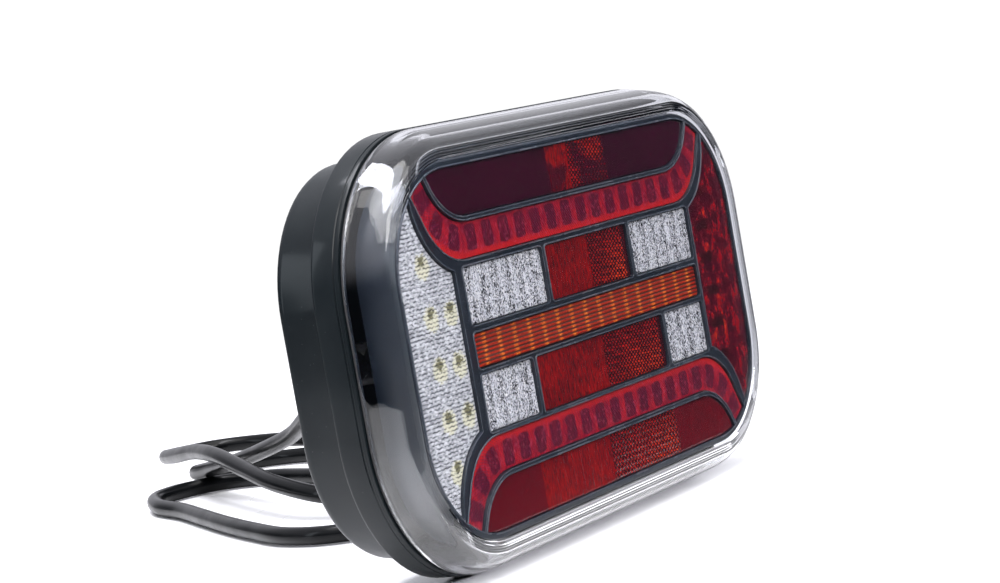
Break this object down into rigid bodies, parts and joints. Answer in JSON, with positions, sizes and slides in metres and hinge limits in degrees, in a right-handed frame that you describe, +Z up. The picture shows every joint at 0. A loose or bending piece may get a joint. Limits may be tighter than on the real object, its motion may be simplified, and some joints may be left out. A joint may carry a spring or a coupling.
{
  "type": "trailer rear combination lamp",
  "caption": "Rectangular LED rear combination lamp with rounded corners, clear cover, black bezel with red, amber and clear windows, stepped rear box, studs and a lead with a round connector.",
  "frame": {"origin": "under the middle of the lamp's bounding box without its lead, on the surface that it stands on", "axes": "+X along the lamp's length, -Y out of the lit face, +Y towards the mounting panel, +Z up"},
  "size_m": [0.3409, 0.3333, 0.138],
  "materials": {
    "housing_plastic": "moulded black plastic with a faint satin sheen",
    "clear_cover": "polished clear polycarbonate",
    "bezel_black": "satin blue-black",
    "red_lens": "transparent red with fine optics",
    "amber_lens": "transparent orange with fine horizontal flutes",
    "frosted_lens": "clear with fine ribs",
    "metallised_plastic": "metallised reflector",
    "circuit_board": "green solder mask",
    "led": "yellow phosphor in white packages",
    "potting": "black potting resin",
    "white_plastic": "moulded white nylon",
    "zinc_plate": "bright zinc plate",
    "black_rubber": "matt black rubber",
    "cable_sheath": "smooth black sheath",
    "contact_brass": "plated contacts"
  },
  "bodies": {
    "root": {"amber_indicator_lens": "amber_lens", "amber_led_strip": "led", "bezel": "bezel_black", "board_screw_1": "zinc_plate", "board_screw_2": "zinc_plate", "board_screw_3": "zinc_plate", "board_screw_4": "zinc_plate", "board_socket": "white_plastic", "bottom_red_window": "red_lens", "cable": "cable_sheath", "driver_module": "potting", "gland_body": "housing_plastic", "gland_bush": "black_rubber", "gland_nut": "housing_plastic", "internal_lead": "cable_sheath", "led_circuit_board": "circuit_board", "lens_gasket": "black_rubber", "lower_guide_led_strip": "led", "lower_left_led_strip": "led", "lower_left_white_lens": "frosted_lens", "lower_light_guide": "red_lens", "lower_reflex_reflector": "red_lens", "lower_right_led_strip": "led", "lower_right_white_lens": "frosted_lens", "mounting_stud_1": "zinc_plate", "mounting_stud_2": "zinc_plate", "outer_lens": "clear_cover", "plug_body": "housing_plastic", "plug_boot": "black_rubber", "plug_contact_insert": "contact_brass", "plug_coupling_ring": "housing_plastic", "rear_housing": "housing_plastic", "reflector_grid": "metallised_plastic", "reverse_led_1": "led", "reverse_led_2": "led", "reverse_led_3": "led", "reverse_led_4": "led", "reverse_led_5": "led", "reverse_led_6": "led", "reverse_led_7": "led", "reverse_led_8": "led", "reverse_led_board": "circuit_board", "reverse_light_window": "frosted_lens", "side_led_strip": "led", "side_red_window": "red_lens", "strain_relief": "black_rubber", "stud_nut_1": "zinc_plate", "stud_nut_2": "zinc_plate", "stud_washer_1": "zinc_plate", "stud_washer_2": "zinc_plate", "top_red_window": "red_lens", "upper_guide_led_strip": "led", "upper_left_led_strip": "led", "upper_left_white_lens": "frosted_lens", "upper_light_guide": "red_lens", "upper_reflex_reflector": "red_lens", "upper_right_led_strip": "led", "upper_right_white_lens": "frosted_lens", "vent_plug": "black_rubber"}
  },
  "joints": []
}
